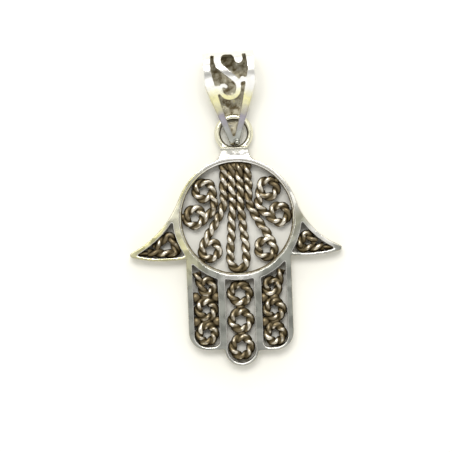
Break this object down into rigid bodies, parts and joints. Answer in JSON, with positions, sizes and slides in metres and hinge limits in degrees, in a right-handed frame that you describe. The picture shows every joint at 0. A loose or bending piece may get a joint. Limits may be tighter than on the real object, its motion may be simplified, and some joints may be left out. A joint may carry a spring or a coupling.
{
  "type": "hamsa pendant",
  "caption": "Open-hand pendant: a cast silver frame with twisted-wire scrolls in its palm, thumbs and fingers, hung from a tapered bail with a scroll.",
  "frame": {"origin": "middle of the whole pendant's outline, on the surface that it lies on", "axes": "+Y from the fingers towards the bail, +Z out of the face, +X to the right when the face is looked at"},
  "size_m": [0.0276, 0.0409, 0.0051],
  "materials": {
    "cast_silver": "polished cast sterling silver with a warm tarnish tint",
    "bail_silver": "polished sterling silver, darkened in its recesses",
    "twisted_wire": "oxidised sterling silver wire, dark between the strands and bright on their crowns"
  },
  "bodies": {
    "root": {"hand_frame": "cast_silver", "bail": "bail_silver", "palm_scroll_left": "twisted_wire", "palm_scroll_right": "twisted_wire", "palm_loop": "twisted_wire", "side_scroll_left": "twisted_wire", "side_scroll_right": "twisted_wire", "middle_rosette_1": "twisted_wire", "middle_rosette_2": "twisted_wire", "middle_rosette_3": "twisted_wire", "left_finger_curl": "twisted_wire", "left_rosette_1": "twisted_wire", "left_rosette_2": "twisted_wire", "right_finger_curl": "twisted_wire", "right_rosette_1": "twisted_wire", "right_rosette_2": "twisted_wire", "thumb_scroll_left": "twisted_wire", "thumb_scroll_right": "twisted_wire"}
  },
  "joints": []
}
